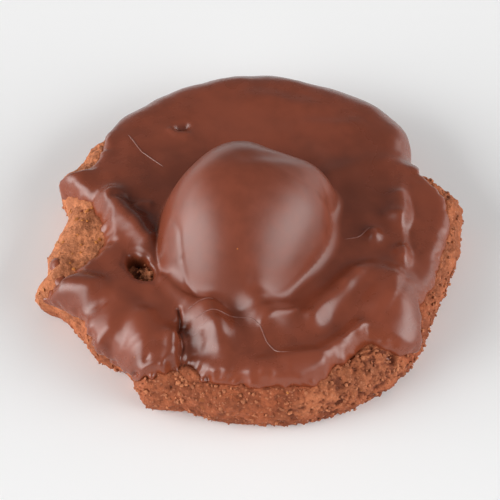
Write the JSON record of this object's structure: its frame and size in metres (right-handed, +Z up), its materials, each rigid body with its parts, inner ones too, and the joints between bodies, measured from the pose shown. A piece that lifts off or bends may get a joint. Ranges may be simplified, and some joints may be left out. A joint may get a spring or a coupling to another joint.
{
  "type": "afghan biscuit",
  "caption": "Round cocoa biscuit with a poured chocolate glaze, bare crumb at its edge and a smooth chocolate-covered lump in the middle.",
  "frame": {"origin": "on the flat underside, under the middle of the outline", "axes": "+Z up through the lump, +Y towards the biscuit's back as the picture shows it, +X towards its right"},
  "size_m": [0.0727, 0.073, 0.0267],
  "materials": {
    "dough": "baked cocoa dough, dry, porous and crumbly, matt",
    "chocolate": "set milk chocolate, smooth, with a soft gloss"
  },
  "bodies": {
    "root": {"biscuit_base": "dough", "chocolate_glaze": "chocolate", "chocolate_lump": "chocolate"}
  },
  "joints": []
}
